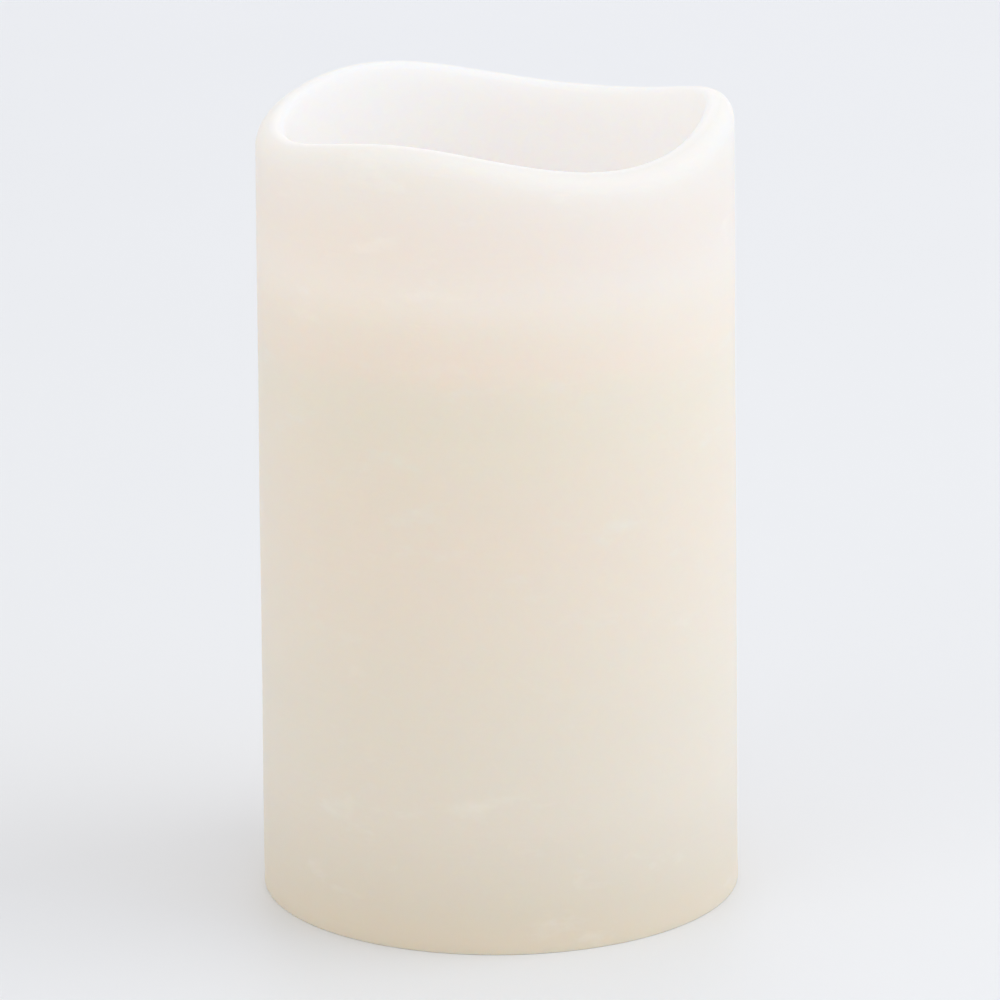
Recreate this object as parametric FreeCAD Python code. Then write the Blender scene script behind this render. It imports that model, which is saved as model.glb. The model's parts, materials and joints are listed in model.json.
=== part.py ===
import FreeCAD, Part
import math
import os

from FreeCAD import Placement, Rotation, Vector

# Flameless LED pillar candle: a cast wax shell with a battery light module glued into its base.
# Millimetres, +Z up. The origin is the centre of the wax ring that the candle stands on.

# Wax shell: a 3 inch pillar, 5 inches tall, with a softly waving rim round a deep open cup.
BASE_RADIUS = 38.1
TOP_RADIUS = 37.3
DRAFT_HEIGHT = 130.0
FOOT_ROUND = 0.5
RIM_HEIGHT = 125.3
# Each wave round the rim: its number of crests, its height and the direction of a crest in degrees.
RIM_WAVES = [(1, 0.40, 140.0), (2, 0.40, -5.0), (3, 2.15, 6.0), (4, 0.20, -9.0), (6, 0.10, 0.0)]
RIM_POINTS = 72
RIM_OUTER_ROUND = 3.3
RIM_INNER_ROUND = 1.2
RIM_STOCK = 5.0
CUP_RADIUS = 32.8
CUP_FLOOR = 100.0
CUP_CORNER = 3.0
WEB_THICKNESS = 8.0
CHAMBER_RADIUS = 33.5
CHAMBER_CORNER = 3.0
STEM_HOLE_RADIUS = 5.4
EDGE_TOLERANCE = 0.1

# Module tray: a shallow round tub, set a little above the wax ring, with a roofed battery bay.
TRAY_BOTTOM = 0.8
TRAY_FLOOR = 2.0
TRAY_RADIUS = 33.4
TRAY_WALL = 1.4
TRAY_TOP = 22.0
FLOOR_TOP = TRAY_BOTTOM + TRAY_FLOOR

# Battery cells: three of size AAA, lying side by side along X.
CELL_RADIUS = 5.25
CELL_LENGTH = 44.5
NUB_RADIUS = 1.9
NUB_LENGTH = 0.8
CELL_PITCH = 11.2
CELL_COUNT = 3
CELL_CLEARANCE = 0.3
CELL_Z = FLOOR_TOP + CELL_CLEARANCE + CELL_RADIUS
CELL_EDGE_ROUND = 0.5

BAY_HALF_X = 25.0
BAY_HALF_Y = 17.0
BAY_WALL = 1.2
BAY_CEILING = 14.2
BAY_ROOF = BAY_CEILING + BAY_WALL

# Contacts: sprung at each cell's flat end, plain at its nub, with a solder tab on two of them.
PLATE_THICKNESS = 0.4
PLATE_HALF_WIDTH = 4.3
PLATE_Z = (4.4, 13.2)
TAB_HALF_WIDTH = 1.5
TAB_TOP = 18.0
TAB_SLOT_GAP = 0.2
SPRING_WIRE_RADIUS = 0.35
SPRING_BASE_RADIUS = 3.4
SPRING_TIP_RADIUS = 2.3
SPRING_TURNS = 3
SPRING_SINK = 0.2

# Battery door: hinged on two moulded stub pins at the +X end, with a spring tab at the -X end.
DOOR_THICKNESS = 2.0
DOOR_GAP = 0.3
PIVOT_X = 25.5
PIVOT_Z = 2.3
BARREL_RADIUS = PIVOT_Z - TRAY_BOTTOM
STUB_RADIUS = 0.8
STUB_LENGTH = 1.6
STUB_CLEARANCE = 0.05
STUB_END_GAP = 0.1
STUB_SOCKET_WALL = 1.2
DOOR_TIP_X = -26.2
LATCH_GAP = 0.4
TAB_LATCH_THICKNESS = 1.0
TAB_LATCH_HALF_WIDTH = 4.5
TAB_LATCH_TOP = 7.0
LATCH_BUMP_RADIUS = 0.25
LATCH_BUMP_Z = 3.6
LATCH_NOTCH_TOP = 7.6
FINGER_SCOOP_DEPTH = 1.1
FINGER_SCOOP_LENGTH = 4.0
FINGER_SCOOP_HALF_WIDTH = 6.0
GRIP_GROOVES = 4
GRIP_START = 2.4
GRIP_PITCH = 1.6
GRIP_GROOVE_WIDTH = 0.7
GRIP_GROOVE_DEPTH = 0.4
GRIP_HALF_WIDTH = 6.0

# Three-position slide switch on the underside of the circuit board.
SWITCH_Y = -24.0
SWITCH_TRAVEL = 2.0
SWITCH_BODY_HALF_X = 6.5
SWITCH_BODY_HALF_Y = 3.25
SWITCH_BODY_BOTTOM = 5.8
ACTUATOR_HALF_X = 1.5
ACTUATOR_HALF_Y = 0.9
ACTUATOR_Z = (4.1, 7.0)
ACTUATOR_GAP = 0.3
KNOB_HALF_X = 2.2
KNOB_HALF_Y = 2.0
KNOB_BOTTOM = 1.3
KNOB_GAP = 0.3
KNOB_RIBS = 3
KNOB_RIB_PITCH = 1.4
KNOB_RIB_WIDTH = 0.5
KNOB_RIB_DEPTH = 0.4
APRON_HALF_X = 7.0
APRON_HALF_Y = 3.2
APRON_THICKNESS = 0.8
KNOB_SOCKET_WALL = 0.8
RAIL_THICKNESS = 1.0
RAIL_TOP = 4.4
RAIL_HALF_LENGTH = 9.6

# Circuit board and what is soldered to it.
BOARD_BOTTOM = 10.5
BOARD_THICKNESS = 1.6
BOARD_TOP = BOARD_BOTTOM + BOARD_THICKNESS
BOARD_HALF_X = 14.0
BOARD_Y = (-28.6, -19.0)
BOARD_CORNER = 1.0
BOARD_POST_X = 11.8
BOARD_POST_RADIUS = 1.9
CHIP_SIZE = (5.0, 4.0, 1.5)
CHIP_POS = (-6.0, -24.5)
CHIP_LIFT = 0.15
CHIP_PINS = 4
CHIP_PIN_PITCH = 1.1
CHIP_PIN_WIDTH = 0.4
CHIP_PIN_REACH = 0.9
CAPACITOR_RADIUS = 2.0
CAPACITOR_HEIGHT = 5.0
CAPACITOR_POS = (7.0, -25.0)
CAPACITOR_ROUND = 0.4
RESISTOR_RADIUS = 0.8
RESISTOR_LENGTH = 3.6
RESISTOR_POS = (1.6, -26.0)
RESISTOR_LEAD_RADIUS = 0.25
RESISTOR_LEAD_REACH = 1.2

# Cover of the module, screwed down on four bosses.
COVER_THICKNESS = 2.0
COVER_TOP = TRAY_TOP + COVER_THICKNESS
LIP_GAP = 0.1
LIP_WALL = 1.2
LIP_HEIGHT = 2.0
COLLAR_RADIUS = 7.0
COLLAR_TOP = 32.0
BOSS_POS = (18.0, 21.0)
BOSS_RADIUS = 2.6
GLUE_SIZE = 2.5

# Screws: (shank radius, shank length, head radius, head height). The cross reaches a share of the head.
COVER_SCREW = (1.2, 9.0, 2.3, 1.5)
BOARD_SCREW = (0.9, 5.0, 1.8, 1.1)
SCREW_HOLE_GAP = 0.2
CROSS_HALF_WIDTH = 0.25
CROSS_REACH = 0.6

# Stem and LED: a tube that carries the lamp up into the hole in the wax web.
STEM_RADIUS = 5.0
STEM_BORE = 3.6
STEM_TOP = CUP_FLOOR - 4.5
STEM_CAP = 1.5
COLLAR_GAP = 0.05
LED_RADIUS = 2.5
LED_FLANGE_RADIUS = 2.9
LED_FLANGE_HEIGHT = 1.0
LED_HOLE_GAP = 0.1
LED_DOME_BASE = CUP_FLOOR + 1.0
LEAD_SPACING = 2.54
LEAD_RADIUS = 0.25
LEAD_LENGTH = 18.0
LED_BASE = STEM_TOP - STEM_CAP - LED_FLANGE_HEIGHT

# Insulated hook-up wire.
WIRE_RADIUS = 0.55
WIRE_BEND = 2.0
SOLDER_ROW_Y = -20.4
BATTERY_WIRE_X = 8.2
BATTERY_WIRE_LEAN = 6.0
BATTERY_WIRE_Z = 17.2
LED_WIRE_Z = 18.8


def box(x_range, y_range, z_range):
    """A block that fills three ranges."""
    size = [high - low for low, high in (x_range, y_range, z_range)]
    return Part.makeBox(*size, Vector(x_range[0], y_range[0], z_range[0]))


def pad(x, y, half_x, half_y, z_range):
    """An upright block centred on (x, y)."""
    return box((x - half_x, x + half_x), (y - half_y, y + half_y), z_range)


def post(radius, z_range, x=0.0, y=0.0):
    """An upright cylinder centred on (x, y)."""
    return Part.makeCylinder(radius, z_range[1] - z_range[0], Vector(x, y, z_range[0]))


def rod(radius, start, end):
    """A cylinder between two points."""
    along = end - start
    return Part.makeCylinder(radius, along.Length, start, along)


def ring(outer, inner, z_range):
    """An upright tube centred on the candle's axis."""
    return post(outer, z_range).cut(post(inner, z_range))


def turned(edges):
    """The solid turned from a closed outline in the XZ plane."""
    face = Part.Face(Part.Wire(edges))
    return face.revolve(Vector(0, 0, 0), Vector(0, 0, 1), 360)


def line(start, end):
    """A straight edge in the XZ plane between two (radius, z) points."""
    return Part.makeLine(Vector(start[0], 0, start[1]), Vector(end[0], 0, end[1]))


def quarter_arc(centre, radius, first, last):
    """An arc in the XZ plane, between two angles in degrees measured from +X towards +Z."""
    angles = [math.radians(angle) for angle in (first, (first + last) / 2, last)]
    points = [Vector(centre[0] + radius * math.cos(a), 0, centre[1] + radius * math.sin(a)) for a in angles]
    return Part.Arc(*points).toShape()


def mirrored_corners(x, y):
    """The four corners of a rectangle centred on the axis."""
    return [(sx * x, sy * y) for sx in (-1, 1) for sy in (-1, 1)]


def rim_height(angle):
    """Height of the candle's rim in one direction."""
    waves = [high * math.cos(crests * (angle - math.radians(peak))) for crests, high, peak in RIM_WAVES]
    return RIM_HEIGHT + sum(waves)


def rim_loop(radius):
    """The rim's wave, drawn on a cylinder."""
    angles = [2 * math.pi * step / RIM_POINTS for step in range(RIM_POINTS)]
    points = [Vector(radius * math.cos(a), radius * math.sin(a), rim_height(a)) for a in angles]
    curve = Part.BSplineCurve()
    curve.interpolate(Points=points, PeriodicFlag=True)
    return curve.toShape()


def rim_edge(shell, radius_range):
    """The edges of the rim whose greatest radius lies in a range."""
    low, high = radius_range
    found = []
    for edge in shell.Edges:
        bounds = edge.BoundBox
        if bounds.ZMin > CUP_FLOOR + CUP_CORNER and low < bounds.XMax < high and bounds.XLength > low:
            found.append(edge)
    return found


def wax_shell():
    """One casting: outer wall, open cup with a waving rim, and the web that floors the cup."""
    above = DRAFT_HEIGHT + RIM_STOCK
    outer_above = BASE_RADIUS + (TOP_RADIUS - BASE_RADIUS) * above / DRAFT_HEIGHT
    web_bottom = CUP_FLOOR - WEB_THICKNESS
    cup_corner = (CUP_RADIUS - CUP_CORNER, CUP_FLOOR + CUP_CORNER)
    roof_corner = (CHAMBER_RADIUS - CHAMBER_CORNER, web_bottom - CHAMBER_CORNER)
    foot = (BASE_RADIUS - FOOT_ROUND, FOOT_ROUND)
    edges = [
        line((CHAMBER_RADIUS, 0), (foot[0], 0)),
        quarter_arc(foot, FOOT_ROUND, -90, 0),
        line((BASE_RADIUS, FOOT_ROUND), (outer_above, above)),
        line((outer_above, above), (CUP_RADIUS, above)),
        line((CUP_RADIUS, above), (CUP_RADIUS, cup_corner[1])),
        quarter_arc(cup_corner, CUP_CORNER, 0, -90),
        line((cup_corner[0], CUP_FLOOR), (STEM_HOLE_RADIUS, CUP_FLOOR)),
        line((STEM_HOLE_RADIUS, CUP_FLOOR), (STEM_HOLE_RADIUS, web_bottom)),
        line((STEM_HOLE_RADIUS, web_bottom), (roof_corner[0], web_bottom)),
        quarter_arc(roof_corner, CHAMBER_CORNER, 90, 0),
        line((CHAMBER_RADIUS, roof_corner[1]), (CHAMBER_RADIUS, 0)),
    ]
    wave = Part.makeRuledSurface(rim_loop(CUP_RADIUS / 2), rim_loop(BASE_RADIUS + CUP_RADIUS / 2))
    trimmed = turned(edges).cut(wave.extrude(Vector(0, 0, above))).Solids[0]
    middle = (CUP_RADIUS + TOP_RADIUS) / 2
    rounded = trimmed.makeFillet(RIM_OUTER_ROUND, rim_edge(trimmed, (middle, BASE_RADIUS)))
    inner = rim_edge(rounded, (CUP_RADIUS - EDGE_TOLERANCE, CUP_RADIUS + EDGE_TOLERANCE))
    return rounded.makeFillet(RIM_INNER_ROUND, inner)


def cell_y(index):
    """Sideways place of one cell, or of the contacts behind it."""
    return (index - (CELL_COUNT - 1) / 2) * CELL_PITCH


def nub_side(index):
    """Cells lie alternate ways: +1 where the nub points to +X, -1 where it points to -X."""
    return 1 if index % 2 == 0 else -1


def battery_cell(index):
    """A dry cell with its nub against a plain contact."""
    side = nub_side(index)
    nub_tip = side * (BAY_HALF_X - PLATE_THICKNESS)
    start = Vector(nub_tip - side * CELL_LENGTH, cell_y(index), CELL_Z)
    shoulder = Vector(nub_tip - side * NUB_LENGTH, cell_y(index), CELL_Z)
    can = rod(CELL_RADIUS, start, shoulder)
    round_edges = [edge for edge in can.Edges if edge.Closed]
    can = can.makeFillet(CELL_EDGE_ROUND, round_edges)
    nub = rod(NUB_RADIUS, shoulder, Vector(nub_tip, cell_y(index), CELL_Z))
    return can.fuse(nub).removeSplitter()


def contact_plate(side, low_y, high_y):
    """A flat contact against one end wall of the bay."""
    faces = sorted((side * (BAY_HALF_X - PLATE_THICKNESS), side * BAY_HALF_X))
    return box(faces, (low_y, high_y), PLATE_Z)


def contact_spring(index):
    """A conical coil from the end wall's plate to a cell's flat end."""
    side = nub_side(index)
    flat_end = side * (BAY_HALF_X - PLATE_THICKNESS - CELL_LENGTH)
    plate_face = -side * (BAY_HALF_X - PLATE_THICKNESS)
    length = abs(flat_end - plate_face) - 2 * SPRING_WIRE_RADIUS
    cone = math.degrees(math.atan2(SPRING_TIP_RADIUS - SPRING_BASE_RADIUS, length))
    helix = Part.makeHelix(length / SPRING_TURNS, length, SPRING_BASE_RADIUS, cone)
    start = Vector(SPRING_BASE_RADIUS, 0, 0)
    section = Part.Wire(Part.makeCircle(SPRING_WIRE_RADIUS, start, Vector(0, 1, 0)))
    coil = Part.Wire(helix.Edges).makePipeShell([section], True, True)
    base = Vector(plate_face + side * (SPRING_WIRE_RADIUS - SPRING_SINK), cell_y(index), CELL_Z)
    coil.Placement = Placement(base, Rotation(Vector(0, 0, 1), Vector(side, 0, 0)))
    return coil


def solder_tab(side, index):
    """The strip of a contact that stands up through the bay's roof."""
    faces = sorted((side * (BAY_HALF_X - PLATE_THICKNESS), side * BAY_HALF_X))
    y = cell_y(index)
    return box(faces, (y - TAB_HALF_WIDTH, y + TAB_HALF_WIDTH), (PLATE_Z[1], TAB_TOP))


def end_contact(side, index, sprung):
    """The battery's first or last contact, with its solder tab."""
    y = cell_y(index)
    shape = contact_plate(side, y - PLATE_HALF_WIDTH, y + PLATE_HALF_WIDTH).fuse(solder_tab(side, index))
    if sprung:
        shape = shape.fuse(contact_spring(index))
    return shape.removeSplitter()


def bridge_contact(side, sprung, plain):
    """A plate that joins one cell's flat end to its neighbour's nub."""
    low, high = sorted((cell_y(sprung), cell_y(plain)))
    shape = contact_plate(side, low - PLATE_HALF_WIDTH, high + PLATE_HALF_WIDTH)
    return shape.fuse(contact_spring(sprung)).removeSplitter()


def battery_bay():
    """Walls and roof of the box that the cells lie in."""
    outer = pad(0, 0, BAY_HALF_X + BAY_WALL, BAY_HALF_Y + BAY_WALL, (FLOOR_TOP, BAY_ROOF))
    inner = pad(0, 0, BAY_HALF_X, BAY_HALF_Y, (FLOOR_TOP, BAY_CEILING))
    bay = outer.cut(inner)
    for side, index in ((1, 0), (-1, CELL_COUNT - 1)):
        middle = side * (BAY_HALF_X - PLATE_THICKNESS / 2)
        half_x = PLATE_THICKNESS / 2 + TAB_SLOT_GAP
        slot = pad(middle, cell_y(index), half_x, TAB_HALF_WIDTH + TAB_SLOT_GAP, (BAY_CEILING, BAY_ROOF))
        bay = bay.cut(slot)
    return bay


def door_opening():
    """The hole in the tray that the battery door fills, with room for its barrel and its spring tab."""
    barrel_reach = BARREL_RADIUS + DOOR_GAP
    x_range = (DOOR_TIP_X - LATCH_GAP, PIVOT_X + barrel_reach)
    y_range = (-BAY_HALF_Y, BAY_HALF_Y)
    floor_hole = box(x_range, y_range, (TRAY_BOTTOM, FLOOR_TOP))
    barrel_room = box((PIVOT_X - barrel_reach, x_range[1]), y_range, (TRAY_BOTTOM, PIVOT_Z + barrel_reach))
    tab_half = TAB_LATCH_HALF_WIDTH + DOOR_GAP
    tab_room = box((x_range[0], -BAY_HALF_X), (-tab_half, tab_half), (TRAY_BOTTOM, LATCH_NOTCH_TOP))
    return floor_hole.fuse([barrel_room, tab_room])


def stub_socket(side):
    """The block beside the door that takes one of its stub pins, with the pin's bore."""
    start = side * BAY_HALF_Y
    end = side * (BAY_HALF_Y + STUB_LENGTH + STUB_SOCKET_WALL)
    half = STUB_RADIUS + STUB_SOCKET_WALL
    block = box((PIVOT_X - half, PIVOT_X + half), sorted((start, end)), (TRAY_BOTTOM, PIVOT_Z + half))
    bore_end = side * (BAY_HALF_Y + STUB_LENGTH)
    bore_ends = [Vector(PIVOT_X, y, PIVOT_Z) for y in (start, bore_end)]
    bore = rod(STUB_RADIUS + STUB_CLEARANCE, *bore_ends)
    return block, bore


def base_tray():
    """The round tub that closes the candle's underside and carries the module."""
    tray = post(TRAY_RADIUS, (TRAY_BOTTOM, FLOOR_TOP))
    tray = tray.fuse(ring(TRAY_RADIUS, TRAY_RADIUS - TRAY_WALL, (TRAY_BOTTOM, TRAY_TOP)))
    bores = []
    pieces = [battery_bay()]
    for side in (-1, 1):
        block, bore = stub_socket(side)
        pieces.append(block)
        bores.append(bore)
        rail_y = SWITCH_Y + side * (APRON_HALF_Y + KNOB_GAP + RAIL_THICKNESS / 2)
        pieces.append(pad(0, rail_y, RAIL_HALF_LENGTH, RAIL_THICKNESS / 2, (FLOOR_TOP, RAIL_TOP)))
        pieces.append(post(BOARD_POST_RADIUS, (FLOOR_TOP, BOARD_BOTTOM), side * BOARD_POST_X, SWITCH_Y))
        bores.append(screw_bore(BOARD_SCREW, BOARD_TOP, side * BOARD_POST_X, SWITCH_Y))
    for x, y in mirrored_corners(*BOSS_POS):
        pieces.append(post(BOSS_RADIUS, (FLOOR_TOP, TRAY_TOP), x, y))
        bores.append(screw_bore(COVER_SCREW, COVER_TOP, x, y))
    tray = tray.fuse(pieces).common(post(TRAY_RADIUS, (TRAY_BOTTOM, TRAY_TOP))).cut(door_opening())
    window_half_x = KNOB_HALF_X + SWITCH_TRAVEL + KNOB_GAP
    window = pad(0, SWITCH_Y, window_half_x, KNOB_HALF_Y + KNOB_GAP, (TRAY_BOTTOM, FLOOR_TOP))
    scoop_end = DOOR_TIP_X - FINGER_SCOOP_LENGTH
    scoop_z = (TRAY_BOTTOM, TRAY_BOTTOM + FINGER_SCOOP_DEPTH)
    scoop = box((scoop_end, DOOR_TIP_X), (-FINGER_SCOOP_HALF_WIDTH, FINGER_SCOOP_HALF_WIDTH), scoop_z)
    return tray.cut(bores + [window, scoop]).removeSplitter()


def battery_door():
    """A flat lid with a hinge barrel and stub pins at one end and a spring tab at the other."""
    half_y = BAY_HALF_Y - DOOR_GAP
    plate = box((DOOR_TIP_X, PIVOT_X), (-half_y, half_y), (TRAY_BOTTOM, TRAY_BOTTOM + DOOR_THICKNESS))
    barrel = rod(BARREL_RADIUS, Vector(PIVOT_X, -half_y, PIVOT_Z), Vector(PIVOT_X, half_y, PIVOT_Z))
    stub_end = BAY_HALF_Y + STUB_LENGTH - STUB_END_GAP
    stubs = rod(STUB_RADIUS, Vector(PIVOT_X, -stub_end, PIVOT_Z), Vector(PIVOT_X, stub_end, PIVOT_Z))
    tab_x = (DOOR_TIP_X, DOOR_TIP_X + TAB_LATCH_THICKNESS)
    tab = box(tab_x, (-TAB_LATCH_HALF_WIDTH, TAB_LATCH_HALF_WIDTH), (TRAY_BOTTOM, TAB_LATCH_TOP))
    bump_ends = [Vector(DOOR_TIP_X, side * TAB_LATCH_HALF_WIDTH, LATCH_BUMP_Z) for side in (-1, 1)]
    door = plate.fuse([barrel, stubs, tab, rod(LATCH_BUMP_RADIUS, *bump_ends)])
    for groove in range(GRIP_GROOVES):
        x = DOOR_TIP_X + GRIP_START + GRIP_PITCH * groove
        z_range = (TRAY_BOTTOM, TRAY_BOTTOM + GRIP_GROOVE_DEPTH)
        door = door.cut(pad(x, 0, GRIP_GROOVE_WIDTH / 2, GRIP_HALF_WIDTH, z_range))
    return door.removeSplitter()


def switch_knob():
    """The slider that a fingertip pushes, with an apron that hides the window in the tray."""
    apron_z = (FLOOR_TOP + KNOB_GAP, FLOOR_TOP + KNOB_GAP + APRON_THICKNESS)
    socket_z = (apron_z[1], SWITCH_BODY_BOTTOM - KNOB_GAP)
    button = pad(0, SWITCH_Y, KNOB_HALF_X, KNOB_HALF_Y, (KNOB_BOTTOM, apron_z[0]))
    apron = pad(0, SWITCH_Y, APRON_HALF_X, APRON_HALF_Y, apron_z)
    socket_half = (ACTUATOR_HALF_X + KNOB_SOCKET_WALL, ACTUATOR_HALF_Y + KNOB_SOCKET_WALL)
    knob = button.fuse([apron, pad(0, SWITCH_Y, *socket_half, socket_z)])
    for rib in range(KNOB_RIBS):
        x = KNOB_RIB_PITCH * (rib - (KNOB_RIBS - 1) / 2)
        z_range = (KNOB_BOTTOM, KNOB_BOTTOM + KNOB_RIB_DEPTH)
        knob = knob.cut(pad(x, SWITCH_Y, KNOB_RIB_WIDTH / 2, KNOB_HALF_Y, z_range))
    return knob.cut(switch_actuator()).removeSplitter()


def switch_actuator():
    """The switch's own lever, which the knob is pressed on to."""
    return pad(0, SWITCH_Y, ACTUATOR_HALF_X, ACTUATOR_HALF_Y, ACTUATOR_Z)


def switch_body():
    """The switch's can, with the slot that its lever slides in."""
    can = pad(0, SWITCH_Y, SWITCH_BODY_HALF_X, SWITCH_BODY_HALF_Y, (SWITCH_BODY_BOTTOM, BOARD_BOTTOM))
    slot_half_x = ACTUATOR_HALF_X + SWITCH_TRAVEL + ACTUATOR_GAP
    slot_z = (SWITCH_BODY_BOTTOM, ACTUATOR_Z[1] + ACTUATOR_GAP)
    return can.cut(pad(0, SWITCH_Y, slot_half_x, ACTUATOR_HALF_Y + ACTUATOR_GAP, slot_z))


def screw(kind, seat_z, x, y):
    """A pan-head screw whose head sits on a face at seat_z."""
    shank_radius, shank_length, head_radius, head_height = kind
    shank = post(shank_radius, (seat_z - shank_length, seat_z), x, y)
    head = post(head_radius, (seat_z, seat_z + head_height), x, y)
    cross_z = (seat_z + head_height / 2, seat_z + head_height)
    arm = head_radius * CROSS_REACH
    body = shank.fuse(head).cut(pad(x, y, arm, CROSS_HALF_WIDTH, cross_z))
    return body.cut(pad(x, y, CROSS_HALF_WIDTH, arm, cross_z)).removeSplitter()


def screw_bore(kind, seat_z, x, y):
    """The pilot hole that a screw's shank fills."""
    return post(kind[0], (seat_z - kind[1], seat_z), x, y)


def cover_screws():
    """Four screws that hold the cover on the tray's bosses."""
    return Part.makeCompound([screw(COVER_SCREW, COVER_TOP, x, y) for x, y in mirrored_corners(*BOSS_POS)])


def board_screws():
    """Two screws that hold the circuit board on its posts."""
    places = [side * BOARD_POST_X for side in (-1, 1)]
    return Part.makeCompound([screw(BOARD_SCREW, BOARD_TOP, x, SWITCH_Y) for x in places])


def circuit_board():
    """The small board in the space beside the battery bay."""
    board = box((-BOARD_HALF_X, BOARD_HALF_X), BOARD_Y, (BOARD_BOTTOM, BOARD_TOP))
    upright = [edge for edge in board.Edges if edge.BoundBox.ZLength > BOARD_THICKNESS / 2]
    board = board.makeFillet(BOARD_CORNER, upright)
    for side in (-1, 1):
        hole_radius = BOARD_SCREW[0] + SCREW_HOLE_GAP
        board = board.cut(post(hole_radius, (BOARD_BOTTOM, BOARD_TOP), side * BOARD_POST_X, SWITCH_Y))
    return board


def timer_chip():
    """The flicker and timer chip, with a row of pins on each long side."""
    x, y = CHIP_POS
    half_x, half_y = CHIP_SIZE[0] / 2, CHIP_SIZE[1] / 2
    underside = BOARD_TOP + CHIP_LIFT
    chip = pad(x, y, half_x, half_y, (underside, underside + CHIP_SIZE[2]))
    pin_z = (BOARD_TOP, underside + CHIP_LIFT)
    pins = []
    for pin in range(CHIP_PINS):
        pin_x = x + CHIP_PIN_PITCH * (pin - (CHIP_PINS - 1) / 2)
        pins.append(pad(pin_x, y, CHIP_PIN_WIDTH / 2, half_y + CHIP_PIN_REACH, pin_z))
    return chip.fuse(pins).removeSplitter()


def capacitor():
    """A small upright electrolytic can."""
    can = post(CAPACITOR_RADIUS, (BOARD_TOP, BOARD_TOP + CAPACITOR_HEIGHT), *CAPACITOR_POS)
    waist = BOARD_TOP + CAPACITOR_HEIGHT / 2
    top = [edge for edge in can.Edges if edge.BoundBox.ZMin > waist and edge.Closed]
    return can.makeFillet(CAPACITOR_ROUND, top)


def resistor():
    """The LED's resistor, lying on its bent leads."""
    x, y = RESISTOR_POS
    z = BOARD_TOP + RESISTOR_RADIUS
    ends = [Vector(x + side * RESISTOR_LENGTH / 2, y, z) for side in (-1, 1)]
    pieces = []
    for side, end in zip((-1, 1), ends):
        knee = end + Vector(side * RESISTOR_LEAD_REACH, 0, 0)
        pieces.append(rod(RESISTOR_LEAD_RADIUS, end, knee))
        pieces.append(Part.makeSphere(RESISTOR_LEAD_RADIUS, knee))
        pieces.append(rod(RESISTOR_LEAD_RADIUS, knee, Vector(knee.x, y, BOARD_TOP)))
    return rod(RESISTOR_RADIUS, *ends).fuse(pieces).removeSplitter()


def module_cover():
    """The disc that closes the tray, with a locating lip below and the stem's collar above."""
    lip_outer = TRAY_RADIUS - TRAY_WALL - LIP_GAP
    cover = post(TRAY_RADIUS, (TRAY_TOP, COVER_TOP))
    lip = ring(lip_outer, lip_outer - LIP_WALL, (TRAY_TOP - LIP_HEIGHT, TRAY_TOP))
    collar = ring(COLLAR_RADIUS, STEM_RADIUS + COLLAR_GAP, (COVER_TOP, COLLAR_TOP))
    cover = cover.fuse([lip, collar]).cut(post(STEM_BORE, (TRAY_TOP, COVER_TOP)))
    hole_radius = COVER_SCREW[0] + SCREW_HOLE_GAP
    holes = [post(hole_radius, (TRAY_TOP, COVER_TOP), x, y) for x, y in mirrored_corners(*BOSS_POS)]
    return cover.cut(holes).removeSplitter()


def glue_bead():
    """The ring of hot-melt glue that holds the module in the wax."""
    inner = CHAMBER_RADIUS - GLUE_SIZE
    corner = (CHAMBER_RADIUS, COVER_TOP)
    top = (CHAMBER_RADIUS, COVER_TOP + GLUE_SIZE)
    return turned([line((inner, COVER_TOP), corner), line(corner, top), line(top, (inner, COVER_TOP))])


def led_stem():
    """The tube that stands in the cover's collar, with a drilled cap for the LED."""
    stem = ring(STEM_RADIUS, STEM_BORE, (COVER_TOP, STEM_TOP - STEM_CAP))
    cap = ring(STEM_RADIUS, LED_RADIUS + LED_HOLE_GAP, (STEM_TOP - STEM_CAP, STEM_TOP))
    return stem.fuse(cap).removeSplitter()


def led_bulb():
    """A 5 mm LED: flange, barrel and dome."""
    barrel = post(LED_RADIUS, (LED_BASE, LED_DOME_BASE))
    flange = post(LED_FLANGE_RADIUS, (LED_BASE, LED_BASE + LED_FLANGE_HEIGHT))
    dome = Part.makeSphere(LED_RADIUS, Vector(0, 0, LED_DOME_BASE))
    return barrel.fuse([flange, dome]).removeSplitter()


def led_leads():
    """The LED's two straight leads."""
    leads = []
    for side in (-1, 1):
        leads.append(post(LEAD_RADIUS, (LED_BASE - LEAD_LENGTH, LED_BASE), side * LEAD_SPACING / 2, 0))
    return Part.makeCompound(leads)


def hook_up_wire(points):
    """Insulated wire along straight runs joined by round bends."""
    edges = []
    last = points[0]
    for before, corner, after in zip(points, points[1:], points[2:]):
        back = (before - corner).normalize()
        ahead = (after - corner).normalize()
        half_turn = (math.pi - back.getAngle(ahead)) / 2
        reach = WIRE_BEND * math.tan(half_turn)
        middle_way = (back + ahead).normalize()
        middle = corner + middle_way * (WIRE_BEND / math.cos(half_turn) - WIRE_BEND)
        bend_start = corner + back * reach
        bend_end = corner + ahead * reach
        edges.append(Part.makeLine(last, bend_start))
        edges.append(Part.Arc(bend_start, middle, bend_end).toShape())
        last = bend_end
    edges.append(Part.makeLine(last, points[-1]))
    section = Part.Face(Part.Wire(Part.makeCircle(WIRE_RADIUS, points[0], points[1] - points[0])))
    return Part.Wire(edges).makePipe(section)


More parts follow.
